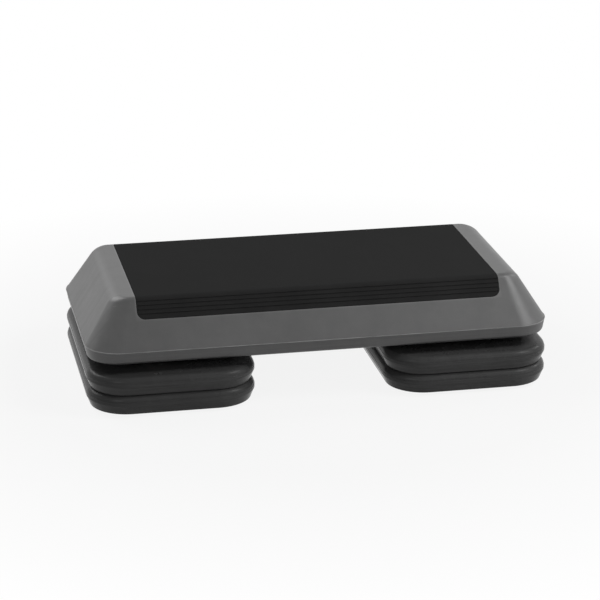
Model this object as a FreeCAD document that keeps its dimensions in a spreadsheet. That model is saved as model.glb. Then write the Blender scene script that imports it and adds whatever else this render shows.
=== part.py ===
# Stackable step platform: a hollow deck with a tread mat on two stacks of risers.
# The floor is z = 0, x runs along the deck, y across it and z up. Lengths in millimetres.
import FreeCAD
import Part
import Sketcher
import math
import os

doc = FreeCAD.newDocument("step_platform")
sheet = doc.addObject("Spreadsheet::Sheet", "Sizes")
sheet.Label = "Sizes"

SIZES = {
    # deck
    "deck_length": 711, "deck_width": 362, "rim_height": 19.6, "rim_corner": 52, "rim_draft": 4,
    "rim_round": 6, "parting_step": 0.8, "slope_height": 70.6, "slope_run": 45, "crown_corner": 24,
    "end_round": 26, "side_round": 11, "deck_wall": 5,
    # the deck's feet have a block between the deck and the part that enters a socket
    "block_height": 15.2, "block_root_radius": 30, "block_tip_radius": 27,
    # mat
    "mat_margin": 32.2, "mat_thickness": 2.4, "mat_drop": 28.7, "mat_corner": 12,
    "mat_bend_relief": 2.2, "mat_edge_clearance": 0.3,
    "groove_width": 1.8, "groove_depth": 1, "groove_first": 7, "groove_pitch": 6.6,
    # risers
    "riser_length": 254, "riser_overhang": 12.5, "riser_end_inset": 1.2, "riser_corner": 62,
    "riser_height": 29, "riser_waist": 14.3, "riser_bottom_inset": 5.4, "riser_bottom_round": 2.5,
    "riser_round": 9, "riser_wall": 3, "band_depth": 0.5, "band_height": 5.5,
    # feet and the sockets they stand in
    "foot_radius": 19, "foot_taper": 1.2, "foot_drop": 5.6, "neck_radius": 5.5,
    "bulb_radius": 8, "bulb_tip_radius": 4, "bulb_height": 8,
    "foot_inset_x": 57, "foot_inset_y": 66,
    "socket_depth": 5, "socket_clearance": 1, "neck_clearance": 0.4,
    # cuts run this far past the faces they open
    "overrun": 10,
    # edges are picked by height to within this
    "edge_tolerance": 0.05,
}
FORMULAS = {
    "riser_width": "=deck_width + 2 * riser_overhang",
    "riser_offset": "=deck_length / 2 - riser_length / 2 - riser_end_inset",
    "foot_spacing_x": "=riser_length - 2 * foot_inset_x",
    "foot_spacing_y": "=deck_width - 2 * foot_inset_y",
    "riser_pitch": "=riser_height + foot_drop - socket_depth",
    "rim_bottom": "=2 * riser_pitch + foot_drop + block_height",
    "rim_top": "=rim_bottom + rim_height",
    "deck_top": "=rim_top + slope_height",
    "crown_length": "=deck_length - 2 * parting_step - 2 * slope_run",
    "crown_width": "=deck_width - 2 * parting_step - 2 * slope_run",
    "mat_length": "=crown_length - 2 * mat_margin",
    "slope_face": "=sqrt(slope_run ^ 2 + slope_height ^ 2)",
    "spread_share": "=slope_run / slope_height",
    "slant_share": "=slope_face / slope_height",
    "bend_share": "=(slope_face - slope_run) / slope_height",
    "hollow_gain": "=2 * deck_wall * spread_share - 2 * deck_wall * slant_share",
    "mat_bottom": "=deck_top - mat_drop",
    "socket_radius": "=foot_radius + socket_clearance",
    "hole_radius": "=neck_radius + neck_clearance",
}
GROOVES = 4
LEVELS = ("lower", "upper")
SIDES = (("left", -1), ("right", 1))
FOOT_PLACES = (("outer_front", 1, -1), ("outer_back", 1, 1), ("inner_front", -1, -1), ("inner_back", -1, 1))

for row, (alias, value) in enumerate(list(SIZES.items()) + list(FORMULAS.items()), start=1):
    sheet.set("A%d" % row, alias)
    sheet.set("B%d" % row, str(value))
    sheet.setAlias("B%d" % row, alias)
doc.recompute()

ORIGIN = FreeCAD.Vector(0, 0, 0)
ALONG_Y = FreeCAD.Rotation(FreeCAD.Vector(0, 0, 1), FreeCAD.Vector(0, 1, 0))


def size(formula):
    """Value of a formula in the sheet's names."""
    return float(sheet.evalExpression(bind(formula)))


def bind(formula):
    """The formula with each of the sheet's names spelled for an expression."""
    words = []
    for word in formula.replace("(", "( ").replace(")", " )").split():
        named = word in SIZES or word in FORMULAS
        words.append("Sizes." + word if named else word)
    return " ".join(words)


def set_size(thing, prop, formula):
    thing.setExpression(prop, bind(formula))


def place(thing, x="0", y="0", z="0"):
    """Bind a thing's position to formulas."""
    for axis, formula in zip("xyz", (x, y, z)):
        if formula != "0":
            set_size(thing, ".Placement.Base." + axis, formula)


def plane(body, index):
    """One of a body's origin planes: 0 is XY, 1 is XZ, 2 is YZ."""
    return [f for f in body.Origin.OriginFeatures if f.TypeId == "App::Plane"][index]


def rounded_outline(body, name, length, width, corner, level):
    """Sketch of a rounded rectangle about the origin, at a height in its body."""
    sketch = body.newObject("Sketcher::SketchObject", name)
    sketch.AttachmentSupport = [(plane(body, 0), "")]
    sketch.MapMode = "FlatFace"
    set_size(sketch, ".AttachmentOffset.Base.z", level)
    a, b, r = size(length) / 2, size(width) / 2, size(corner)
    up = FreeCAD.Vector(0, 0, 1)
    quarter = math.pi / 2
    ends = [((a - r, -b), (r - a, -b)), ((-a, r - b), (-a, b - r)),
            ((r - a, b), (a - r, b)), ((a, b - r), (a, r - b))]
    centres = [(r - a, r - b), (r - a, b - r), (a - r, b - r), (a - r, r - b)]
    starts = [2, 1, 0, 3]
    for (x0, y0), (x1, y1) in ends:
        sketch.addGeometry(Part.LineSegment(FreeCAD.Vector(x0, y0, 0), FreeCAD.Vector(x1, y1, 0)))
    for (x, y), start in zip(centres, starts):
        circle = Part.Circle(FreeCAD.Vector(x, y, 0), up, r)
        sketch.addGeometry(Part.ArcOfCircle(circle, start * quarter, (start + 1) * quarter))
    # the lines run clockwise and the arcs anticlockwise, so each arc's end meets the line before it
    for i in range(4):
        arc = 4 + i
        sketch.addConstraint(Sketcher.Constraint("Tangent", i, 2, arc, 2))
        sketch.addConstraint(Sketcher.Constraint("Tangent", arc, 1, (i + 1) % 4, 1))
    for i in (0, 2):
        sketch.addConstraint(Sketcher.Constraint("Horizontal", i))
        sketch.addConstraint(Sketcher.Constraint("Vertical", i + 1))
    for arc in (5, 6, 7):
        sketch.addConstraint(Sketcher.Constraint("Equal", 4, arc))
    sketch.addConstraint(Sketcher.Constraint("Symmetric", 4, 3, 6, 3, -1, 1))
    named = (("Radius", (4, r), corner), ("DistanceX", (1, 1, 3, 1, 2 * a), length),
             ("DistanceY", (0, 1, 2, 1, 2 * b), width))
    for kind, args, formula in named:
        index = sketch.addConstraint(Sketcher.Constraint(kind, *args))
        sketch.renameConstraint(index, kind.lower())
        set_size(sketch, "Constraints." + kind.lower(), formula)
    return sketch


def pad(body, name, sketch, height, midplane=False):
    feature = body.newObject("PartDesign::Pad", name)
    feature.Profile = sketch
    feature.Midplane = midplane
    set_size(feature, "Length", height)
    doc.recompute()
    return feature


def loft(body, name, low, high):
    feature = body.newObject("PartDesign::AdditiveLoft", name)
    feature.Profile = low
    feature.Sections = [high]
    feature.Ruled = True
    doc.recompute()
    return feature


def edges_at(shape, level):
    """Names of the edges that lie at one height."""
    near = size("edge_tolerance")
    return ["Edge%d" % (i + 1) for i, edge in enumerate(shape.Edges)
            if abs(edge.BoundBox.ZMin - level) < near and abs(edge.BoundBox.ZMax - level) < near]


def fillet(body, name, base, level, radius):
    """Round the edges of a feature that lie at one height."""
    feature = body.newObject("PartDesign::Fillet", name)
    feature.Base = (base, edges_at(base.Shape, level))
    set_size(feature, "Radius", radius)
    doc.recompute()
    return feature


def solid(kind, name, **sizes):
    """A Part primitive with its sizes bound to formulas."""
    thing = doc.addObject("Part::" + kind, name)
    for prop, formula in sizes.items():
        set_size(thing, prop, formula)
    return thing


def fuse(name, things):
    joined = doc.addObject("Part::MultiFuse", name)
    joined.Shapes = things
    return joined


def cut(name, base, tool):
    result = doc.addObject("Part::Cut", name)
    result.Base = base
    result.Tool = tool
    doc.recompute()
    return result


def new_body(name):
    return doc.addObject("PartDesign::Body", name)


def frustum(name, *outlines):
    """Deck form: a drafted rim, then sloping sides up to the crown.

    The four outlines are the rim's bottom and top, the slopes' base and the crown, each of them
    a length, a width, a corner radius and a level.
    """
    body = new_body(name)
    bottom, top, base, crown = [rounded_outline(body, "%s_outline_%d" % (name, i), *outline)
                                for i, outline in enumerate(outlines)]
    loft(body, name + "_rim", bottom, top)
    loft(body, name + "_slopes", base, crown)
    return body


def round_crown(name, body, level, end, side):
    """Round the crown's edge: wider along the ends than along the sides, blending round the corners."""
    shape = body.Shape
    rounds = []
    for edge_name in edges_at(shape, level):
        number = int(edge_name[4:])
        edge = shape.Edges[number - 1]
        first, last = [end if runs_across(edge, p) else side for p in edge.ParameterRange]
        rounds.append((number, first, last))
    feature = doc.addObject("Part::Fillet", name)
    feature.Base = body
    feature.Edges = rounds
    doc.recompute()
    return feature


def runs_across(edge, parameter):
    """True where the edge runs across the deck rather than along it."""
    direction = edge.tangentAt(parameter)
    return abs(direction.y) > abs(direction.x)


def tread_prism(name, length, inset, bottom, bend):
    """Prism along the deck under its crown and slopes, set in by a distance, with rounded top edges."""
    body = new_body(name)
    sketch = body.newObject("Sketcher::SketchObject", name + "_section")
    sketch.AttachmentSupport = [(plane(body, 2), "")]
    sketch.MapMode = "FlatFace"
    top = "deck_top - ( %s )" % inset
    top_width = "crown_width - 2 * ( %s ) * bend_share" % inset
    low_width = "%s + 2 * ( %s - ( %s ) ) * spread_share" % (top_width, top, bottom)
    high, low = size(top), size(bottom)
    half_top, half_low = size(top_width) / 2, size(low_width) / 2
    corners = [(-half_low, low), (half_low, low), (half_top, high), (-half_top, high)]
    for (y0, z0), (y1, z1) in zip(corners, corners[1:] + corners[:1]):
        sketch.addGeometry(Part.LineSegment(FreeCAD.Vector(y0, z0, 0), FreeCAD.Vector(y1, z1, 0)))
    for i in range(4):
        sketch.addConstraint(Sketcher.Constraint("Coincident", i, 2, (i + 1) % 4, 1))
    for i in (0, 2):
        sketch.addConstraint(Sketcher.Constraint("Symmetric", i, 1, i, 2, -2))
    named = (("low_width", "DistanceX", (0, 1, 0, 2, 2 * half_low), low_width),
             ("top_width", "DistanceX", (2, 2, 2, 1, 2 * half_top), top_width),
             ("low_level", "DistanceY", (-1, 1, 0, 1, low), bottom),
             ("top_level", "DistanceY", (-1, 1, 2, 1, high), top))
    for label, kind, args, formula in named:
        index = sketch.addConstraint(Sketcher.Constraint(kind, *args))
        sketch.renameConstraint(index, label)
        set_size(sketch, "Constraints." + label, formula)
    block = pad(body, name + "_block", sketch, length, midplane=True)
    straight = [e for e in edges_at(block.Shape, high) if not runs_across(block.Shape.getElement(e), 0)]
    rounding = body.newObject("PartDesign::Fillet", name + "_bend")
    rounding.Base = (block, straight)
    set_size(rounding, "Radius", bend)
    doc.recompute()
    return body


def corner_trims(name, length, bottom):
    """What is left outside the round lower corners of the mat's two flaps, cut straight across the deck."""
    trims = []
    width = "deck_width + 2 * overrun"
    for end, side in (("left", -1), ("right", 1)):
        block = solid("Box", "%s_%s_block" % (name, end), Length="mat_corner + overrun", Width=width,
                      Height="mat_corner + overrun")
        start = "( %s ) / 2 - mat_corner" % length if side > 0 else "0 - ( %s ) / 2 - overrun" % length
        place(block, x=start, y="0 - ( %s ) / 2" % width, z="%s - overrun" % bottom)
        rod = solid("Cylinder", "%s_%s_rod" % (name, end), Radius="mat_corner", Height=width)
        rod.Placement = FreeCAD.Placement(ORIGIN, ALONG_Y)
        centre = "%d * ( ( %s ) / 2 - mat_corner )" % (side, length)
        place(rod, x=centre, y="0 - ( %s ) / 2" % width, z="%s + mat_corner" % bottom)
        trims.append(cut("%s_%s" % (name, end), block, rod))
    return fuse(name, trims)


def make_mat():
    """Rubber tread: flat over the crown, bent down over both long edges, grooved on the bent flaps."""
    outer = tread_prism("mat_outside", "mat_length", "0", "mat_bottom", "side_round")
    inner = tread_prism("mat_inside", "mat_length + 2 * overrun", "mat_thickness", "mat_bottom - overrun",
                        "side_round - mat_thickness - mat_bend_relief")
    sheet_form = cut("mat_sheet", outer, inner)
    tools = [corner_trims("mat_trims", "mat_length", "mat_bottom")]
    slope = math.degrees(math.atan2(size("slope_height"), size("slope_run")))
    for side, sign in (("front", -1), ("back", 1)):
        for step in range(GROOVES):
            groove = solid("Box", "groove_%s_%d" % (side, step), Length="mat_length + 2 * overrun",
                           Width="groove_width", Height="groove_depth + overrun")
            turn = FreeCAD.Rotation(FreeCAD.Vector(1, 0, 0), -sign * slope)
            groove.Placement = FreeCAD.Placement(ORIGIN, turn)
            edge = "-" if sign > 0 else "+"
            along = "( groove_first + %d * groove_pitch %s groove_width / 2 )" % (step, edge)
            out = "( %s * slope_run - groove_depth * slope_height ) / slope_face" % along
            down = "( %s * slope_height + groove_depth * slope_run ) / slope_face" % along
            place(groove, x="0 - mat_length / 2 - overrun", y="%d * ( crown_width / 2 + %s )" % (sign, out),
                  z="deck_top - %s" % down)
            tools.append(groove)
    return cut("tread_mat", sheet_form, fuse("mat_cuts", tools))


def foot_points(side):
    """Formulas for the four foot places under one end: name, x and y."""
    for place_name, out, across in FOOT_PLACES:
        x = "%d * riser_offset + %d * foot_spacing_x / 2" % (side, side * out)
        yield place_name, x, "%d * foot_spacing_y / 2" % across


def make_foot(name, x, y, seat, wall, block):
    """Push-in rubber foot below a wall, whose lower face is at the seat level, with a block if asked for."""
    drop = "block_height" if block else "0"
    head = solid("Cone", name + "_head", Radius1="foot_radius - foot_taper", Radius2="foot_radius",
                 Height="foot_drop")
    place(head, z="0 - foot_drop - %s" % drop)
    neck = solid("Cylinder", name + "_neck", Radius="neck_radius", Height=wall)
    bulb = solid("Cone", name + "_bulb", Radius1="bulb_radius", Radius2="bulb_tip_radius",
                 Height="bulb_height")
    place(bulb, z=wall)
    pieces = [head, neck, bulb]
    if block:
        body = solid("Cone", name + "_block", Radius1="block_tip_radius", Radius2="block_root_radius",
                     Height="block_height")
        place(body, z="0 - block_height")
        pieces.append(body)
    foot = fuse(name, pieces)
    place(foot, x, y, seat)
    return foot


def make_deck():
    """Closed hollow deck with holes for its feet below and a recess for the mat above."""
    outside = frustum("deck_outside",
                      ("deck_length - 2 * rim_draft", "deck_width - 2 * rim_draft", "rim_corner - rim_draft",
                       "rim_bottom"),
                      ("deck_length", "deck_width", "rim_corner", "rim_top"),
                      ("deck_length - 2 * parting_step", "deck_width - 2 * parting_step",
                       "rim_corner - parting_step", "rim_top"),
                      ("crown_length", "crown_width", "crown_corner", "deck_top"))
    fillet(outside, "rim_rounding", outside.Tip, size("rim_bottom"), "rim_round")
    skin = round_crown("deck_skin", outside, size("deck_top"), size("end_round"), size("side_round"))
    hollow = frustum("deck_hollow",
                     ("deck_length - 2 * rim_draft - 2 * deck_wall",
                      "deck_width - 2 * rim_draft - 2 * deck_wall",
                      "rim_corner - rim_draft - deck_wall", "rim_bottom + deck_wall"),
                     ("deck_length - 2 * deck_wall", "deck_width - 2 * deck_wall", "rim_corner - deck_wall",
                      "rim_top"),
                     ("deck_length - 2 * parting_step - 2 * deck_wall * slant_share",
                      "deck_width - 2 * parting_step - 2 * deck_wall * slant_share",
                      "rim_corner - deck_wall", "rim_top"),
                     ("crown_length + hollow_gain", "crown_width + hollow_gain", "crown_corner - deck_wall",
                      "deck_top - deck_wall"))
    core = round_crown("deck_core", hollow, size("deck_top - deck_wall"), size("end_round - deck_wall"),
                       size("side_round - deck_wall"))
    cores = [core]
    for side_name, side in SIDES:
        for place_name, x, y in foot_points(side):
            hole = solid("Cylinder", "deck_hole_%s_%s" % (side_name, place_name), Radius="hole_radius",
                         Height="deck_wall + 2 * overrun")
            place(hole, x, y, "rim_bottom - overrun")
            cores.append(hole)
    over = tread_prism("recess_outside", "mat_length + 2 * mat_edge_clearance", "0 - overrun",
                       "mat_bottom - mat_edge_clearance", "side_round")
    under = tread_prism("recess_inside", "mat_length + 2 * overrun", "mat_thickness", "mat_bottom - overrun",
                        "side_round - mat_thickness")
    trims = corner_trims("recess_trims", "mat_length + 2 * mat_edge_clearance",
                         "mat_bottom - mat_edge_clearance")
    recess = cut("mat_recess", over, fuse("recess_limits", [under, trims]))
    return cut("deck_shell", cut("deck_blank", skin, fuse("deck_cores", cores)), recess)


def riser_form(name, inset, bottom, top, rounding, band):
    """Riser outline: drawn in below its waist, rounded over on top, with a raised band between if asked."""
    body = new_body(name)
    low_inset = "2 * riser_bottom_inset + 2 * ( %s )" % inset
    low = rounded_outline(body, name + "_bottom", "riser_length - ( %s )" % low_inset,
                          "riser_width - ( %s )" % low_inset,
                          "riser_corner - riser_bottom_inset - ( %s )" % inset, bottom)
    waist = ("riser_length - 2 * ( %s )" % inset, "riser_width - 2 * ( %s )" % inset,
             "riser_corner - ( %s )" % inset, "riser_waist")
    middle = rounded_outline(body, name + "_waist", *waist)
    loft(body, name + "_draft", low, middle)
    again = rounded_outline(body, name + "_shoulder", *waist)
    block = pad(body, name + "_block", again, "%s - riser_waist" % top)
    last = fillet(body, name + "_rounding", block, size(top), rounding)
    if band:
        ring = rounded_outline(body, name + "_band_line", "riser_length + 2 * band_depth",
                               "riser_width + 2 * band_depth", "riser_corner + band_depth", "riser_waist")
        last = pad(body, name + "_band", ring, "band_height")
        fillet(body, name + "_bottom_rounding", last, 0, "riser_bottom_round")
    return body


def make_riser(name, side, level):
    """One hollow riser with four sockets on top and a hole for each of its own feet."""
    outside = riser_form(name + "_outside", "0", "0", "riser_height", "riser_round", True)
    inside = riser_form(name + "_inside", "riser_wall", "riser_wall", "riser_height - riser_wall",
                        "riser_round - riser_wall", False)
    skin = cut(name + "_skin", outside, inside)
    cups, cuts = [], []
    for place_name, out, across in FOOT_PLACES:
        x = "%d * foot_spacing_x / 2" % (side * out)
        y = "%d * foot_spacing_y / 2" % across
        label = "%s_%s" % (name, place_name)
        cup = solid("Cylinder", label + "_cup", Radius="socket_radius + riser_wall",
                    Height="socket_depth + riser_wall / 2")
        place(cup, x, y, "riser_height - socket_depth - riser_wall")
        cups.append(cup)
        well = solid("Cylinder", label + "_well", Radius="socket_radius", Height="socket_depth + overrun")
        place(well, x, y, "riser_height - socket_depth")
        hole = solid("Cylinder", label + "_hole", Radius="hole_radius", Height="riser_wall + overrun")
        place(hole, x, y, "0 - overrun / 2")
        cuts += [well, hole]
    riser = cut(name, fuse(name + "_walls", [skin] + cups), fuse(name + "_cuts", cuts))
    place(riser, x="%d * riser_offset" % side, z="%d * riser_pitch + foot_drop" % level)
    return riser


nodes = [make_deck(), make_mat()]
for side_name, side in SIDES:
    for level, level_name in enumerate(LEVELS):
        nodes.append(make_riser("riser_%s_%s" % (side_name, level_name), side, level))
        for place_name, x, y in foot_points(side):
            foot_name = "foot_%s_%s_%s" % (side_name, level_name, place_name)
            seat = "%d * riser_pitch + foot_drop" % level
            nodes.append(make_foot(foot_name, x, y, seat, "riser_wall", False))
    for place_name, x, y in foot_points(side):
        foot_name = "foot_%s_deck_%s" % (side_name, place_name)
        nodes.append(make_foot(foot_name, x, y, "rim_bottom", "deck_wall", True))
doc.recompute()

for thing in doc.Objects:
    if "Invalid" in thing.State or "Error" in thing.State:
        raise RuntimeError("%s did not build" % thing.Name)
os.makedirs("parts", exist_ok=True)
for node in nodes:
    if node.Shape.isNull() or not node.Shape.isValid() or len(node.Shape.Solids) != 1:
        raise RuntimeError("%s is not one valid solid" % node.Name)
    node.Label = node.Name
    node.Shape.exportStep("parts/%s.step" % node.Name)
    print("%-32s %12.1f mm3" % (node.Name, node.Shape.Volume))
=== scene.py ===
"""Looks of a stackable step platform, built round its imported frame.

A grey hollow deck with a black tread mat let into it stands on two stacks of black risers.
Lengths are in metres: x runs along the deck, y across it and z up from the floor.
"""
import logging
import math
from dataclasses import dataclass
from enum import Enum
from typing import Any, Iterable, Sequence

import bmesh
import bpy
import numpy as np
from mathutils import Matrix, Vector
from mathutils.geometry import delaunay_2d_cdt


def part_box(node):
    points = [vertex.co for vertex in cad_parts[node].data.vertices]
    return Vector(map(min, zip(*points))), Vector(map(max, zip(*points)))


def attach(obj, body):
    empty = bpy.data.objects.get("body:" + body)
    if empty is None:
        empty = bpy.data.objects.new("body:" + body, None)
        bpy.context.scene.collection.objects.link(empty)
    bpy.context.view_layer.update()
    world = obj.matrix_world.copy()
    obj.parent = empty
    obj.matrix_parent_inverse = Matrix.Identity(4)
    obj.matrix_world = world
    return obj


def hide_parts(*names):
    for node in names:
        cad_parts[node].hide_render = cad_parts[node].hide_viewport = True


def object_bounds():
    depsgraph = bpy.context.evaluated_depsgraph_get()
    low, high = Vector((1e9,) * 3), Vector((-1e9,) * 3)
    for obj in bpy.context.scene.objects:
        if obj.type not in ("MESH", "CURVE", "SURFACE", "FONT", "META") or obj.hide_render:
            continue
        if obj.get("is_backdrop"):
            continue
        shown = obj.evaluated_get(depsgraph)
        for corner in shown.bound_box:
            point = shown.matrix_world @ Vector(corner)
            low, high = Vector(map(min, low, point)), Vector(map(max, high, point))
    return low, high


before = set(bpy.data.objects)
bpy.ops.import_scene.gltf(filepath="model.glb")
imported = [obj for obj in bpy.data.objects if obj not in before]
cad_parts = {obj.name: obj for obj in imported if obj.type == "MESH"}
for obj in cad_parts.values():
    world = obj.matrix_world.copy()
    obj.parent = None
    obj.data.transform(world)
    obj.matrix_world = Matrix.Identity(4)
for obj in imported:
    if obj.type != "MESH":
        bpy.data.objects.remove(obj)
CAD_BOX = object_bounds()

WELD_DISTANCE = 2e-6
FILL_TOLERANCE = WELD_DISTANCE / 10
FILL_INSIDE = 1
SHARP_ANGLE = math.radians(34)
QUARTER_TURN = math.pi / 2
ARC_STEPS = 14
SIDE_STEPS = 12
# Level per point that lightens the colour. It holds real rubbing on the risers' bands and socket lips, a
# painted highlight on the deck's parting bead and mat-recess lip, and painted light from below on the risers'
# drawn-in lower faces.
RUB_AND_SHEEN = "rub"
LOG = logging.getLogger("step_platform")


class Side(Enum):
    """The two ends of the platform, with the sign of x there."""

    LEFT = -1
    RIGHT = 1

    @property
    def word(self) -> str:
        """The side's word in the names of pieces."""
        return self.name.lower()


class Tier(Enum):
    """What a foot stands under, from the floor up."""

    LOWER = "lower"
    UPPER = "upper"
    DECK = "deck"


class Slot(Enum):
    """The record's material slots."""

    DECK_PLASTIC = "deck_plastic"
    RISER_PLASTIC = "riser_plastic"
    MAT_RUBBER = "mat_rubber"
    FOOT_RUBBER = "foot_rubber"


FOOT_PLACES = ("outer_front", "outer_back", "inner_front", "inner_back")


def body_of(side: Side, tier: Tier) -> str:
    """The record's name of the body that a tier of the platform rides on."""
    upper = f"{side.word}_upper_riser"
    return {Tier.LOWER: "lower_risers", Tier.UPPER: upper, Tier.DECK: "deck"}[tier]


def foot_name(side: Side, tier: Tier, place: str) -> str:
    """Name of the foot at one place under a tier."""
    return f"foot_{side.word}_{tier.value}_{place}"


def middle_of(node: str) -> np.ndarray:
    """Middle of a node's box, seen from above."""
    low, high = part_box(node)
    return np.array([(low.x + high.x) / 2, (low.y + high.y) / 2])


def spread(start: float, end: float, steps: int) -> np.ndarray:
    """Evenly spaced values from start to end, both included."""
    return np.linspace(start, end, steps + 1)


def ease(share: Any) -> Any:
    """Share between 0 and 1 that sets off and arrives gently."""
    return share * share * (3 - 2 * share)


def rounded_path(corners: Sequence[tuple[float, float, float]], steps: int = 6) -> np.ndarray:
    """Lay a path through corners and round each of them.

    Args:
        corners: Across, up and radius of each corner. A radius of zero leaves it sharp.
        steps: Straight pieces in each rounding.

    Returns:
        The path's points, one row each.
    """
    spots = np.array([corner[:2] for corner in corners], float)
    path = [spots[0]]
    for number in range(1, len(spots) - 1):
        here, radius = spots[number], corners[number][2]
        if radius == 0:
            path.append(here)
            continue
        back, on = spots[number - 1] - here, spots[number + 1] - here
        back, on = back / np.linalg.norm(back), on / np.linalg.norm(on)
        turn = math.pi - math.acos(float(np.clip(back @ on, -1, 1)))
        reach = radius * math.tan(turn / 2)
        centre = here + (back + on) / np.linalg.norm(back + on) * radius / math.cos(turn / 2)
        first, last = here + back * reach - centre, here + on * reach - centre
        for share in spread(0, 1, steps):
            arm = math.sin((1 - share) * turn) * first + math.sin(share * turn) * last
            path.append(centre + arm / math.sin(turn))
    path.append(spots[-1])
    return np.array(path)


def circle(centre: np.ndarray, radius: float, z: float, steps: int) -> np.ndarray:
    """Points round a level circle.

    Args:
        centre: Its middle seen from above.
        radius: Its radius.
        z: Its height.
        steps: Straight pieces round it.

    Returns:
        The points.
    """
    angles = spread(0, 2 * math.pi, steps)[:-1]
    x, y = centre[0] + radius * np.cos(angles), centre[1] + radius * np.sin(angles)
    return np.stack([x, y, np.full(steps, z)], axis=-1)


@dataclass(frozen=True)
class Plan:
    """Rounded rectangle seen from above."""

    half_length: float
    half_width: float
    corner: float
    x: float = 0.0
    y: float = 0.0

    def front_right(self, out: np.ndarray) -> np.ndarray:
        """Point on the round front right corner of an outline about the origin, in a given direction."""
        centre = np.array([self.half_length - self.corner, self.corner - self.half_width])
        return centre + self.corner * out

    def inset(self, by: float) -> "Plan":
        """The outline drawn in on every side."""
        return Plan(self.half_length - by, self.half_width - by, self.corner - by, self.x, self.y)

    def ring(self, z: float) -> np.ndarray:
        """Walk round the outline, anticlockwise from the front right corner.

        Args:
            z: Height of the ring.

        Returns:
            The ring's points.
        """
        arcs = []
        for quarter, (right, back) in enumerate(((1, -1), (1, 1), (-1, 1), (-1, -1))):
            angles = spread(0, QUARTER_TURN, ARC_STEPS) + (quarter - 1) * QUARTER_TURN
            x = self.x + right * (self.half_length - self.corner) + self.corner * np.cos(angles)
            y = self.y + back * (self.half_width - self.corner) + self.corner * np.sin(angles)
            arcs.append(np.stack([x, y, np.full_like(x, z)], axis=-1))
        walk = []
        for quarter, arc in enumerate(arcs):
            shares = spread(0, 1, SIDE_STEPS)[1:-1, None]
            ahead = arcs[(quarter + 1) % len(arcs)][0]
            walk += [arc, arc[-1] + shares * (ahead - arc[-1])]
        return np.concatenate(walk)


def put_in_scene(name: str, data: bpy.types.ID) -> bpy.types.Object:
    """New object, linked to the scene.

    Args:
        name: The object's name.
        data: Its mesh, light or camera.

    Returns:
        The object.
    """
    thing = bpy.data.objects.new(name, data)
    bpy.context.scene.collection.objects.link(thing)
    return thing


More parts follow.
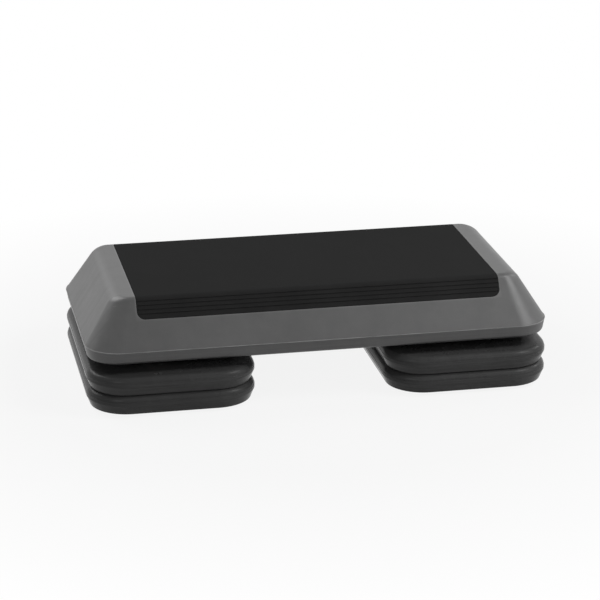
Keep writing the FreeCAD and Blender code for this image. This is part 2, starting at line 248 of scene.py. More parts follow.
class Draft:
    """Points and faces of one piece, gathered patch by patch and welded at the end."""

    def __init__(self) -> None:
        """Start with nothing."""
        self.points: list[np.ndarray] = []
        self.rubs: list[float] = []
        self.faces: list[list[int]] = []

    def place(self, points: np.ndarray, rub: float | np.ndarray = 0.0) -> np.ndarray:
        """Take in an array of points.

        Args:
            points: Points in any arrangement, with x, y and z last.
            rub: How far each point is lightened, from 0 to 1, by rubbing or by painted highlight and painted
                light.

        Returns:
            The points' numbers in the same arrangement.
        """
        shape = points.shape[:-1]
        first = len(self.points)
        self.points.extend(points.reshape(-1, 3))
        self.rubs.extend(np.broadcast_to(rub, shape).ravel())
        return np.arange(first, len(self.points)).reshape(shape)

    def grid(self, points: np.ndarray, rub: float | np.ndarray = 0.0, closed: bool = False) -> None:
        """Cover rows and columns of points with four-sided faces.

        Args:
            points: Rows, columns and x, y, z.
            rub: How far each point is lightened, by rubbing or by painted highlight and painted light.
            closed: Whether the last column joins the first one.
        """
        index = self.place(points, rub)
        if closed:
            index = np.concatenate([index, index[:, :1]], axis=1)
        quads = np.stack([index[:-1, :-1], index[:-1, 1:], index[1:, 1:], index[1:, :-1]], axis=-1)
        self.faces.extend(quads.reshape(-1, 4).tolist())

    def polygon(self, points: np.ndarray) -> None:
        """Add one flat face."""
        self.faces.append(self.place(points).tolist())

    def lathe(self, centre: np.ndarray, path: np.ndarray, steps: int,
              rub: float | np.ndarray = 0.0) -> np.ndarray:
        """Turn a path round an upright axis.

        Args:
            centre: The axis seen from above.
            path: Radius and height along the path.
            steps: Faces round the axis.
            rub: How far each point of the path is lightened, by rubbing or by painted highlight and painted
                light.

        Returns:
            The ring that the path starts from.
        """
        rings = np.stack([circle(centre, radius, z, steps) for radius, z in path])
        self.grid(rings, np.broadcast_to(rub, len(path))[:, None], closed=True)
        return rings[0]

    def fill(self, outline: np.ndarray, holes: Sequence[np.ndarray] = ()) -> None:
        """Fill a level outline with triangles.

        Args:
            outline: Points round the outline, all at one height.
            holes: Points round each round hole in it.
        """
        loops = [outline, *holes]
        spots = np.concatenate(loops)
        edges: list[tuple[int, int]] = []
        for loop in loops:
            first, count = len(edges), len(loop)
            edges += [(first + step, first + (step + 1) % count) for step in range(count)]
        flat = [Vector(spot[:2]) for spot in spots]
        _, _, faces, sources, _, _ = delaunay_2d_cdt(flat, edges, [], FILL_INSIDE, FILL_TOLERANCE)
        index = self.place(spots)
        for face in faces:
            corners = [sources[corner][0] for corner in face]
            if not any(self.covers(hole, spots[corners].mean(axis=0)) for hole in holes):
                self.faces.append([int(index[corner]) for corner in corners])

    @staticmethod
    def covers(hole: np.ndarray, spot: np.ndarray) -> bool:
        """Whether a spot lies in a round hole.

        Args:
            hole: Points round the hole.
            spot: A point at the same height.

        Returns:
            True inside the hole.
        """
        centre = hole.mean(axis=0)
        clear = np.linalg.norm(hole[0] - centre) * math.cos(math.pi / len(hole))
        return bool(np.linalg.norm(spot - centre) < clear)

    def finish(self, name: str) -> bpy.types.Object:
        """Weld the patches into one mesh.

        Args:
            name: The piece's name.

        Returns:
            The piece, linked to the scene.
        """
        mesh = bpy.data.meshes.new(name)
        mesh.from_pydata([tuple(point) for point in self.points], [], self.faces)
        mesh.attributes.new(RUB_AND_SHEEN, "FLOAT", "POINT").data.foreach_set("value", self.rubs)
        work = bmesh.new()
        work.from_mesh(mesh)
        bmesh.ops.remove_doubles(work, verts=work.verts, dist=WELD_DISTANCE)
        bmesh.ops.dissolve_degenerate(work, edges=work.edges, dist=WELD_DISTANCE)
        bmesh.ops.recalc_face_normals(work, faces=work.faces)
        work.to_mesh(mesh)
        work.free()
        mesh.shade_smooth()
        mesh.set_sharp_from_angle(angle=SHARP_ANGLE)
        piece = put_in_scene(name, mesh)
        weighting = piece.modifiers.new("flat_faces_stay_flat", "WEIGHTED_NORMAL")
        weighting.keep_sharp = True
        return piece


def install(piece: bpy.types.Object, finish: "Finish", slot: Slot, body: str, *nodes: str) -> None:
    """Dress a piece, attach it to the body that it rides on and hide the CAD nodes that it stands for.

    Args:
        piece: The piece in its place.
        finish: What it is made of.
        slot: The record's slot for that; not used.
        body: The body that it moves with.
        nodes: The CAD nodes that it stands for.
    """
    piece.data.materials.append(finish.material())
    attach(piece, body)
    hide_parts(*nodes)
    LOG.info("%s: %d faces, rides on %s", piece.name, len(piece.data.polygons), body)


class Bench:
    """Adds and wires the nodes of one tree."""

    def __init__(self, tree: bpy.types.NodeTree) -> None:
        """Work on the tree of a material, a world or a group."""
        self.nodes = tree.nodes
        self.links = tree.links

    def node(self, kind: str, inputs: dict[Any, Any] | None = None, **settings: Any) -> bpy.types.Node:
        """Add a node.

        Args:
            kind: Blender's name of the node type.
            inputs: Values, or sockets to link, by the input's name or number.
            settings: The node's own properties.

        Returns:
            The new node.
        """
        made = self.nodes.new(kind)
        for key, value in settings.items():
            setattr(made, key, value)
        for key, value in (inputs or {}).items():
            if isinstance(value, bpy.types.NodeSocket):
                self.links.new(value, made.inputs[key])
            else:
                made.inputs[key].default_value = value
        return made

    def effect(self, group: bpy.types.NodeTree, inputs: dict[str, Any]) -> Any:
        """Outputs of a shared effect, laid out in the piece's own coordinates."""
        spot = self.node("ShaderNodeTexCoord").outputs["Object"]
        return self.node("ShaderNodeGroup", {"Vector": spot, **inputs}, node_tree=group).outputs

    def math(self, operation: str, *values: Any) -> bpy.types.NodeSocket:
        """Result of a sum on one or two values."""
        return self.node("ShaderNodeMath", dict(enumerate(values)), operation=operation).outputs[0]

    def blend(self, factor: Any, first: Any, second: Any) -> bpy.types.NodeSocket:
        """Colour between two colours."""
        mixer = self.node("ShaderNodeMix", {0: factor, 6: first, 7: second}, data_type="RGBA")
        return mixer.outputs[2]

    def span(self, value: Any, start: float, end: float, low: float = 0.0, high: float = 1.0) -> Any:
        """Value moved from one range to another and held within it."""
        inputs = {"Value": value, "From Min": start, "From Max": end, "To Min": low, "To Max": high}
        return self.node("ShaderNodeMapRange", inputs).outputs[0]

    def scale(self, vector: Any, factor: Any) -> bpy.types.NodeSocket:
        """Colour or vector times a number."""
        return self.node("ShaderNodeVectorMath", {0: vector, "Scale": factor}, operation="SCALE").outputs[0]

    def noise(self, vector: Any, scale: Any, detail: float, roughness: float = 0.55) -> Any:
        """Soft random values from 0 to 1."""
        inputs = {"Vector": vector, "Scale": scale, "Detail": detail, "Roughness": roughness}
        return self.node("ShaderNodeTexNoise", inputs).outputs[0]

    def stretch(self, vector: Any, turn: Sequence[float], scale: Sequence[float]) -> Any:
        """Coordinates turned, then scaled along each axis."""
        turned = self.node("ShaderNodeMapping", {"Vector": vector, "Rotation": turn})
        return self.node("ShaderNodeMapping", {"Vector": turned.outputs[0], "Scale": scale}).outputs[0]


def clear_bench(owner: bpy.types.Material | bpy.types.World) -> Bench:
    """Bench on the emptied tree of a material or a world.

    Args:
        owner: The material or world.

    Returns:
        The bench.
    """
    owner.use_nodes = True
    owner.node_tree.nodes.clear()
    return Bench(owner.node_tree)


def new_group(name: str, inputs: dict[str, Any], outputs: Iterable[str]) -> tuple[Any, Bench, Any]:
    """Start a shader node group.

    Args:
        name: The group's name.
        inputs: Each number input and its value to begin with; a vector comes first.
        outputs: Names of the values that it puts out.

    Returns:
        The group, a bench on it and the sockets of its inputs.
    """
    group = bpy.data.node_groups.new(name, "ShaderNodeTree")
    group.interface.new_socket("Vector", in_out="INPUT", socket_type="NodeSocketVector")
    for label, value in inputs.items():
        socket = group.interface.new_socket(label, in_out="INPUT", socket_type="NodeSocketFloat")
        socket.default_value = value
    for label in outputs:
        group.interface.new_socket(label, in_out="OUTPUT", socket_type="NodeSocketFloat")
    bench = Bench(group)
    return group, bench, bench.node("NodeGroupInput").outputs


@dataclass(frozen=True)
class LineRun:
    """Fine lines on a moulding: how they are drawn out, and which way the faces look that show them.

    They are hidden and full at two shares of the axis in the face's direction.
    """

    name: str
    scale: float
    detail: float
    roughness: float
    drawn_out: tuple[float, float, float]
    axis: str
    hidden_at: float
    full_at: float


class Effects:
    """Shader node groups that several finishes share, each built once."""

    NOISE_BAND = (0.3, 0.7)
    MIDDLE = 0.5
    FINE_PART = 0.6
    PEBBLE_PART = 0.4
    PEBBLE_SCALE = 0.6
    SWAY_SCALE = 0.45
    # Faint lighter and darker streaks running down the deck's end slopes, shown only on faces that look
    # partly along x.
    DOWN_THE_ENDS = LineRun("end_streaks", scale=60.0, detail=3.0, roughness=0.6, drawn_out=(0.06, 1.0, 0.06),
                            axis="X", hidden_at=0.45, full_at=0.8)
    ROUND_THE_WALLS = LineRun("draw_lines", scale=420.0, detail=2.0, roughness=0.55,
                              drawn_out=(0.02, 0.02, 1.0), axis="Z", hidden_at=0.55, full_at=0.35)
    HAIR_RUNS = (((0.2, 0.1, 0.5), (9, 620, 620)), ((0.9, 0.3, -0.8), (700, 11, 700)))
    HAIR_BAND = (0.71, 0.78)
    PATCH_SCALE = 14.0
    PATCH_BAND = (0.52, 0.7)
    SMUDGE_SCALE = 9.0
    SMUDGE_BAND = (0.42, 0.7)

    def __init__(self) -> None:
        """Build the groups."""
        self.mould_grain = self.build_mould_grain()
        self.end_streaks = self.build_lines(self.DOWN_THE_ENDS)
        self.draw_lines = self.build_lines(self.ROUND_THE_WALLS)
        self.handling = self.build_handling()

    def build_mould_grain(self) -> bpy.types.NodeTree:
        """Grain that a mould leaves, with slow unevenness of the wall and of the colour.

        Returns:
            The group.
        """
        group, bench, given = new_group(
            "mould_grain", {"Grain Scale": 1500.0, "Cloud Scale": 20.0}, ("Height", "Cloud", "Sway"))
        vector, grain, cloud = given[0], given[1], given[2]
        fine = bench.noise(vector, grain, detail=2.0)
        pebble_scale = bench.math("MULTIPLY", grain, self.PEBBLE_SCALE)
        pebbles = bench.node("ShaderNodeTexVoronoi", {"Vector": vector, "Scale": pebble_scale},
                             feature="SMOOTH_F1").outputs["Distance"]
        height = bench.math("ADD", bench.math("MULTIPLY", fine, self.FINE_PART),
                            bench.math("MULTIPLY", pebbles, self.PEBBLE_PART))
        sway_scale = bench.math("MULTIPLY", cloud, self.SWAY_SCALE)
        bench.node("NodeGroupOutput", {
            "Height": height, "Cloud": bench.noise(vector, cloud, detail=5.0, roughness=0.6),
            "Sway": bench.noise(vector, sway_scale, detail=1.0)})
        return group

    def build_lines(self, run: LineRun) -> bpy.types.NodeTree:
        """Fine lines that run one way over some of a moulding's faces.

        Args:
            run: The lines.

        Returns:
            A group that puts out the middle value where no lines show.
        """
        group, bench, given = new_group(run.name, {"Line Scale": run.scale}, ("Line",))
        vector = bench.node("ShaderNodeVectorMath", {0: given[0], 1: run.drawn_out}, operation="MULTIPLY")
        lines = bench.noise(vector.outputs[0], given[1], run.detail, run.roughness)
        normal = bench.node("ShaderNodeNewGeometry").outputs["Normal"]
        facing = bench.math("ABSOLUTE", bench.node("ShaderNodeSeparateXYZ", {0: normal}).outputs[run.axis])
        shown = bench.span(facing, run.hidden_at, run.full_at)
        centred = bench.math("SUBTRACT", bench.span(lines, *self.NOISE_BAND), self.MIDDLE)
        line = bench.math("ADD", bench.math("MULTIPLY", centred, shown), self.MIDDLE)
        bench.node("NodeGroupOutput", {"Line": line})
        return group

    def build_handling(self) -> bpy.types.NodeTree:
        """Sparse fine scratches, and smudges where shoes and hands have been.

        Returns:
            The group.
        """
        group, bench, given = new_group("handling", {}, ("Scratch", "Smudge"))
        vector = given[0]
        found = []
        for turn, scale in self.HAIR_RUNS:
            hairs = bench.noise(bench.stretch(vector, turn, scale), 1.0, detail=1.0)
            found.append(bench.span(hairs, *self.HAIR_BAND))
        patches = bench.span(bench.noise(vector, self.PATCH_SCALE, detail=2.0), *self.PATCH_BAND)
        scratch = bench.math("MULTIPLY", bench.math("MAXIMUM", *found), patches)
        smears = bench.noise(vector, self.SMUDGE_SCALE, detail=6.0, roughness=0.65)
        bench.node("NodeGroupOutput", {"Scratch": scratch, "Smudge": bench.span(smears, *self.SMUDGE_BAND)})
        return group


@dataclass(frozen=True)
class Finish:
    """A moulded plastic or rubber: its grey, how that varies, its gloss and its grain.

    Shares are of the colour or of the roughness, and heights are of the relief.
    """

    name: str
    grey: float
    effects: Effects
    roughness: float = 0.5
    specular: float = 0.4
    cloud_share: float = 0.1
    line_share: float = 0.0
    draw_share: float = 0.0
    scratch_share: float = 0.3
    smudge_share: float = 0.05
    # Share by which the per-point level lightens the colour: rubbed wear, painted highlight and painted light
    # together.
    rub_share: float = 0.5
    gloss_share: float = 0.15
    smudge_dulls: float = 0.6
    cloud_dulls: float = 0.4
    rub_polish: float = 0.08
    scratch_depth: float = 0.4
    grain_scale: float = 1500.0
    grain_height: float = 4e-5
    cloud_scale: float = 18.0
    sway_height: float = 2.5e-4
    line_scale: float = 60.0

    def shade(self, share: float) -> tuple[float, float, float, float]:
        """The colour made lighter or darker by a share."""
        level = self.grey * (1 + share)
        return level, level, level, 1.0

    def material(self) -> bpy.types.Material:
        """The finish as a material, made the first time that it is asked for."""
        return bpy.data.materials.get(self.name) or self.mix()

    def mix(self) -> bpy.types.Material:
        """Build the material.

        Returns:
            A material that takes its place from the piece's own coordinates.
        """
        material = bpy.data.materials.new(self.name)
        bench = clear_bench(material)
        effects = self.effects
        grain = bench.effect(effects.mould_grain, {
            "Grain Scale": self.grain_scale, "Cloud Scale": self.cloud_scale})
        handling = bench.effect(effects.handling, {})
        lines = bench.effect(effects.end_streaks, {"Line Scale": self.line_scale})
        drawn = bench.effect(effects.draw_lines, {})
        # Per-point level from the meshes: rubbing and scuffs, a painted highlight on the deck's bead and lip,
        # and painted light from below on the risers' lower faces.
        rub = bench.node("ShaderNodeAttribute", attribute_name=RUB_AND_SHEEN).outputs["Fac"]
        smudge, scratch = handling["Smudge"], handling["Scratch"]

        clouds = bench.span(grain["Cloud"], *effects.NOISE_BAND)
        colour = bench.blend(clouds, self.shade(-self.cloud_share), self.shade(self.cloud_share))
        swings = ((lines["Line"], self.line_share), (drawn["Line"], self.draw_share),
                  (smudge, self.smudge_share))
        changes = [(mask, 1 - share, 1 + share) for mask, share in swings]
        changes += [(scratch, 1.0, 1 + self.scratch_share), (rub, 1.0, 1 + self.rub_share)]
        for mask, low, high in changes:
            colour = bench.scale(colour, bench.span(mask, 0.0, 1.0, low, high))

        dull = bench.math("ADD", bench.math("MULTIPLY", smudge, self.smudge_dulls),
                          bench.math("MULTIPLY", clouds, self.cloud_dulls))
        low, high = self.roughness * (1 - self.gloss_share), self.roughness * (1 + self.gloss_share)
        polish = bench.math("MULTIPLY", rub, self.rub_polish)
        worn = bench.math("SUBTRACT", bench.span(dull, 0.0, 1.0, low, high), polish)
        sway = bench.node("ShaderNodeBump", {"Height": grain["Sway"], "Distance": self.sway_height})
        cut = bench.math("MULTIPLY", scratch, self.scratch_depth)
        bump = bench.node("ShaderNodeBump", {
            "Height": bench.math("SUBTRACT", grain["Height"], cut),
            "Distance": self.grain_height, "Normal": sway.outputs[0]})
        shader = bench.node("ShaderNodeBsdfPrincipled", {
            "Base Color": colour, "Roughness": worn, "Normal": bump.outputs[0],
            "Specular IOR Level": self.specular})
        bench.node("ShaderNodeOutputMaterial", {"Surface": shader.outputs[0]})
        return material


@dataclass
class Foot:
    """Push-in rubber foot: a dished head below its seat, then a stem with a bulb that holds it."""

    side: Side
    tier: Tier
    place: str
    head_radius: float = 0.019
    head_taper: float = 0.0012
    head_height: float = 0.0056
    block_root: float = 0.030
    block_tip: float = 0.027
    block_height: float = 0.0152
    stem_radius: float = 0.0055
    bulb_radius: float = 0.008
    bulb_tip: float = 0.004
    bulb_height: float = 0.008
    edge: float = 0.0009
    dish_radius: float = 0.011
    dish_depth: float = 0.0007
    dish_slope: float = 0.0014
    dish_round: float = 0.00045
    steps: int = 48
    edge_steps: int = 4

    def path(self, bottom: float, top: float) -> np.ndarray:
        """Walk from the middle of the foot's sole to the tip of its bulb.

        Args:
            bottom: Height of the sole.
            top: Height of the bulb's tip.

        Returns:
            Radius and height along the way.
        """
        tip = self.head_radius - self.head_taper
        seat = bottom + self.head_height
        corners = [(0, bottom + self.dish_depth, 0), (self.dish_radius, bottom + self.dish_depth, self.edge),
                   (self.dish_radius + self.dish_slope, bottom, self.dish_round),
                   (tip, bottom, self.edge), (self.head_radius, seat, 0)]
        if self.tier is Tier.DECK:
            corners += [(self.block_tip, seat, self.edge), (self.block_root, seat + self.block_height, 0)]
            seat += self.block_height
        neck_top = top - self.bulb_height
        corners += [(self.stem_radius, seat, 0), (self.stem_radius, neck_top, 0),
                    (self.bulb_radius, neck_top, self.edge), (self.bulb_tip, top, self.edge), (0, top, 0)]
        return rounded_path(corners, self.edge_steps)

    def build(self, finish: Finish) -> None:
        """Turn the foot and push it into its place.

        Args:
            finish: The rubber.
        """
        node = foot_name(self.side, self.tier, self.place)
        low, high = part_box(node)
        draft = Draft()
        draft.lathe(middle_of(node), self.path(low.z, high.z), self.steps)
        piece = draft.finish(f"{node}_rubber")
        install(piece, finish, Slot.FOOT_RUBBER, body_of(self.side, self.tier), node)


@dataclass
class StemHole:
    """Hole that a foot's stem is pushed through, with room above it for the bulb."""

    radius: float = 0.0059
    wall: float = 0.003
    room_radius: float = 0.0088
    room_height: float = 0.0095
    steps: int = 24

    def cut(self, draft: Draft, centre: np.ndarray, z: float) -> np.ndarray:
        """Line the hole.

        Args:
            draft: The moulding.
            centre: Middle of the hole seen from above.
            z: Height of the moulding's underside.

        Returns:
            The hole's edge in the underside.
        """
        above = z + self.wall
        path = np.array([(self.radius, z), (self.radius, above), (self.room_radius, above),
                         (self.room_radius, above + self.room_height), (0, above + self.room_height)])
        return draft.lathe(centre, path, self.steps)


@dataclass
class Riser:
    """Hollow riser: drawn in below a raised band, rounded above it, with sockets on top."""

    side: Side
    tier: Tier
    corner: float = 0.062
    waist: float = 0.0143
    bottom_inset: float = 0.0054
    bottom_round: float = 0.0025
    bottom_margin: float = 0.0075
    shoulder_round: float = 0.009
    top_margin: float = 0.018
    band_depth: float = 0.0005
    band_height: float = 0.0055
    band_edge_share: float = 1 / 3
    socket_radius: float = 0.020
    socket_depth: float = 0.005
    socket_lip: float = 0.0012
    socket_floor_round: float = 0.0008
    socket_steps: int = 64
    section_steps: int = 10
    # The drawn-in lower face is lightened all over: painted light from below, where the face turns down and
    # away from the lamps, with some scuffing.
    lower_rub: float = 1.0
    band_rub: float = 0.5
    socket_rub: float = 0.4

    @property
    def node(self) -> str:
        """The riser's node."""
        return f"riser_{self.side.word}_{self.tier.value}"

    def section(self, low: float, high: float) -> tuple[np.ndarray, np.ndarray]:
        """Section of the side wall from the underside to the top.

        Args:
            low: Height of the underside.
            high: Height of the top.

        Returns:
            Inset and height along the section, and how far each point is lightened: rubbed on the band, and
            painted light from below with some scuffing on the drawn-in lower face.
        """
        waist = low + self.waist
        band_top = waist + self.band_height
        fine = self.band_depth * self.band_edge_share
        corners = [(self.bottom_inset + self.bottom_margin, low, 0),
                   (self.bottom_inset, low, self.bottom_round), (0, waist, fine),
                   (-self.band_depth, waist + fine, fine), (-self.band_depth, band_top - fine, fine),
                   (0, band_top, fine), (0, high, self.shoulder_round), (self.top_margin, high, 0)]
        path = rounded_path(corners, self.section_steps)
        # Lower face: painted light from below, with some scuffing. Raised band: rubbed wear.
        upper_rub = np.where(path[:, 0] < 0, self.band_rub, 0.0)
        rub = np.where(path[:, 1] < waist, self.lower_rub, upper_rub)
        return path, np.where(path[:, 1] > low, rub, 0.0)

    def socket(self, draft: Draft, centre: np.ndarray, z: float) -> np.ndarray:
        """Line a socket in the top.

        Args:
            draft: The riser's draft.
            centre: Middle of the socket seen from above.
            z: Height of the top.

        Returns:
            The socket's edge in the top.
        """
        edge, floor = self.socket_radius + self.socket_lip, z - self.socket_depth
        path = rounded_path([(edge + self.socket_lip, z, 0), (self.socket_radius, z, self.socket_lip),
                             (self.socket_radius, floor, self.socket_floor_round), (0, floor, 0)])
        rub = np.where(path[:, 1] > z - self.socket_lip, self.socket_rub, 0.0)
        return draft.lathe(centre, path, self.socket_steps, rub)

    def build(self, finish: Finish) -> None:
        """Mould the riser.

        Args:
            finish: The plastic.
        """
        low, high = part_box(self.node)
        x, y = middle_of(self.node)
        plan = Plan((high.x - low.x) / 2 - self.band_depth, (high.y - low.y) / 2 - self.band_depth,
                    self.corner, x, y)
        path, rub = self.section(low.z, high.z)
        rings = np.stack([plan.inset(inset).ring(z) for inset, z in path])
        draft = Draft()
        draft.grid(rings, rub[:, None], closed=True)
        centres = [middle_of(foot_name(self.side, self.tier, place)) for place in FOOT_PLACES]
        draft.fill(rings[0], [StemHole().cut(draft, centre, low.z) for centre in centres])
        draft.fill(rings[-1], [self.socket(draft, centre, high.z) for centre in centres])
        piece = draft.finish(f"{self.node}_shell")
        install(piece, finish, Slot.RISER_PLASTIC, body_of(self.side, self.tier), self.node)


@dataclass
class Tread:
    """Section of the deck's tread: flat crown, rounded long edges and slopes, unrolled into one strip.

    Across the strip, w is measured from the middle of the crown.
    """

    top: float
    crown_half_width: float
    slope_run: float
    slope_height: float
    bend: float

    def __post_init__(self) -> None:
        """Work out where the crown, the bend and the slope begin."""
        self.slant = math.atan2(self.slope_height, self.slope_run)
        self.reach = self.bend * math.tan(self.slant / 2)
        self.flat = self.crown_half_width - self.reach
        self.bent = self.flat + self.bend * self.slant

    def below_crest(self, drop: float) -> float:
        """Place across the strip of a level on the slope, given how far it lies below the crown."""
        return self.bent + drop / math.sin(self.slant) - self.reach

    def put(self, x: np.ndarray, w: np.ndarray, depth: np.ndarray) -> np.ndarray:
        """Roll places on the strip back over the deck.

        Args:
            x: Places along the deck.
            w: Places across the strip.
            depth: How far each point lies below the tread's surface.

        Returns:
            Points with x, y and z last.
        """
        x, w, depth = np.broadcast_arrays(x, w, depth)
        span = np.abs(w)
        angle = np.clip((span - self.flat) / self.bend, 0, self.slant)
        down = np.maximum(span - self.bent, 0)
        y = np.minimum(span, self.flat) + self.bend * np.sin(angle) + down * math.cos(self.slant)
        z = self.top - self.bend * (1 - np.cos(angle)) - down * math.sin(self.slant)
        y = y - depth * np.sin(angle)
        z = z - depth * np.cos(angle)
        return np.stack([x, np.sign(w) * y, z], axis=-1)


EDGE_SHARES = np.array([0, 0.08, 0.3, 0.6, 1.0])
GROOVE_SHARES = np.array([-0.75, -0.6, -0.5, -0.42, -0.3, 0, 0.3, 0.42, 0.5, 0.6, 0.75])
ROW_DIGITS = 6
LEVEL_DIGITS = 9


@dataclass
class TreadMat:
    """Rubber tread bent over both long edges of the deck, with grooves along its flaps."""

    tread: Tread
    half_length: float
    half_width: float
    thickness: float = 0.0024
    corner: float = 0.012
    edge: float = 0.0007
    groove_first: float = 0.007
    groove_pitch: float = 0.0066
    groove_width: float = 0.0018
    groove_depth: float = 0.0011
    groove_spread: float = 1.2
    groove_wall: float = 0.4
    grooves: int = 4
    columns: int = 40
    flat_rows: int = 12
    bend_rows: int = 10
    corner_rows: int = 16

    def groove_places(self) -> np.ndarray:
        """Middle of each groove across the strip."""
        first = self.tread.bent - self.tread.reach + self.groove_first
        return first + self.groove_pitch * np.arange(self.grooves)

    def rows(self) -> np.ndarray:
        """Places across one half of the strip at which the mat's shape is sampled.

        Returns:
            The places, from the middle out.
        """
        tread = self.tread
        turn = np.sin(spread(0, QUARTER_TURN, self.corner_rows))
        arc = self.half_width - self.corner + self.corner * turn
        rim = self.half_width - self.edge * EDGE_SHARES
        flat, bend = spread(0, tread.flat, self.flat_rows), spread(tread.flat, tread.bent, self.bend_rows)
        places = [flat, bend, arc, rim]
        places += [place + self.groove_width * GROOVE_SHARES for place in self.groove_places()]
        every = np.unique(np.round(np.concatenate(places), ROW_DIGITS))
        return every[every <= self.half_width]

    def reach_at(self, w: np.ndarray) -> np.ndarray:
        """Half of the mat's length at a place across the strip, where its lower corners are round."""
        over = np.clip(np.abs(w) - (self.half_width - self.corner), 0, self.corner)
        return self.half_length - self.corner + np.sqrt(self.corner ** 2 - over ** 2)

    def inside(self, x: np.ndarray, w: np.ndarray) -> np.ndarray:
        """How far a place lies inside the mat's outline.

        Args:
            x: Places along the strip.
            w: Places across it.

        Returns:
            The distance of each place from the outline.
        """
        along = np.abs(x) - (self.half_length - self.corner)
        across = np.abs(w) - (self.half_width - self.corner)
        outside = np.hypot(np.maximum(along, 0), np.maximum(across, 0))
        return self.corner - outside - np.minimum(np.maximum(along, across), 0)

    def relief(self, x: np.ndarray, w: np.ndarray) -> np.ndarray:
        """Depth of the mat's upper face below the tread: its rounded edge and its grooves.

        Args:
            x: Places along the strip.
            w: Places across it.

        Returns:
            The depth at each place.
        """
        near = np.clip(self.inside(x, w), 0, self.edge)
        depth = self.edge - np.sqrt(np.maximum(self.edge ** 2 - (self.edge - near) ** 2, 0))
        for place in self.groove_places():
            off = np.abs(np.abs(w) - place) / (self.groove_width / 2)
            share = np.clip((self.groove_spread - off) / self.groove_wall, 0, 1)
            depth = np.maximum(depth, self.groove_depth * ease(share))
        return depth

    def build(self, finish: Finish) -> None:
        """Mould the mat and lay it in the deck.

        Args:
            finish: The rubber.
        """
        half = self.rows()
        w = np.concatenate([-half[:0:-1], half])[:, None]
        reach = self.reach_at(w)
        lips = self.edge * EDGE_SHARES
        inner = spread(-1, 1, self.columns)[None, :] * (reach - 2 * self.edge)
        x = np.concatenate([lips - reach, inner, (reach - lips)[:, ::-1]], axis=1)
        upper = self.tread.put(x, w, self.relief(x, w))
        lower = self.tread.put(x, w, np.full_like(x, self.thickness))
        draft = Draft()
        draft.grid(upper)
        draft.grid(lower)
        for pick in ((slice(None), 0), (slice(None), -1), (0, slice(None)), (-1, slice(None))):
            draft.grid(np.stack([upper[pick], lower[pick]]))
        piece = draft.finish("tread_mat_rubber")
        install(piece, finish, Slot.MAT_RUBBER, body_of(Side.LEFT, Tier.DECK), "tread_mat")


@dataclass
class Station:
    """One place round the deck's edge: the edge and the crest above it, and the way out from there."""

    edge: np.ndarray
    crest: np.ndarray
    out: np.ndarray
    bend: float

    def flipped(self) -> "Station":
        """The like station on the other side of the deck's long middle line."""
        flip = np.array([1.0, -1.0])
        return Station(self.edge * flip, self.crest * flip, self.out * flip, self.bend)


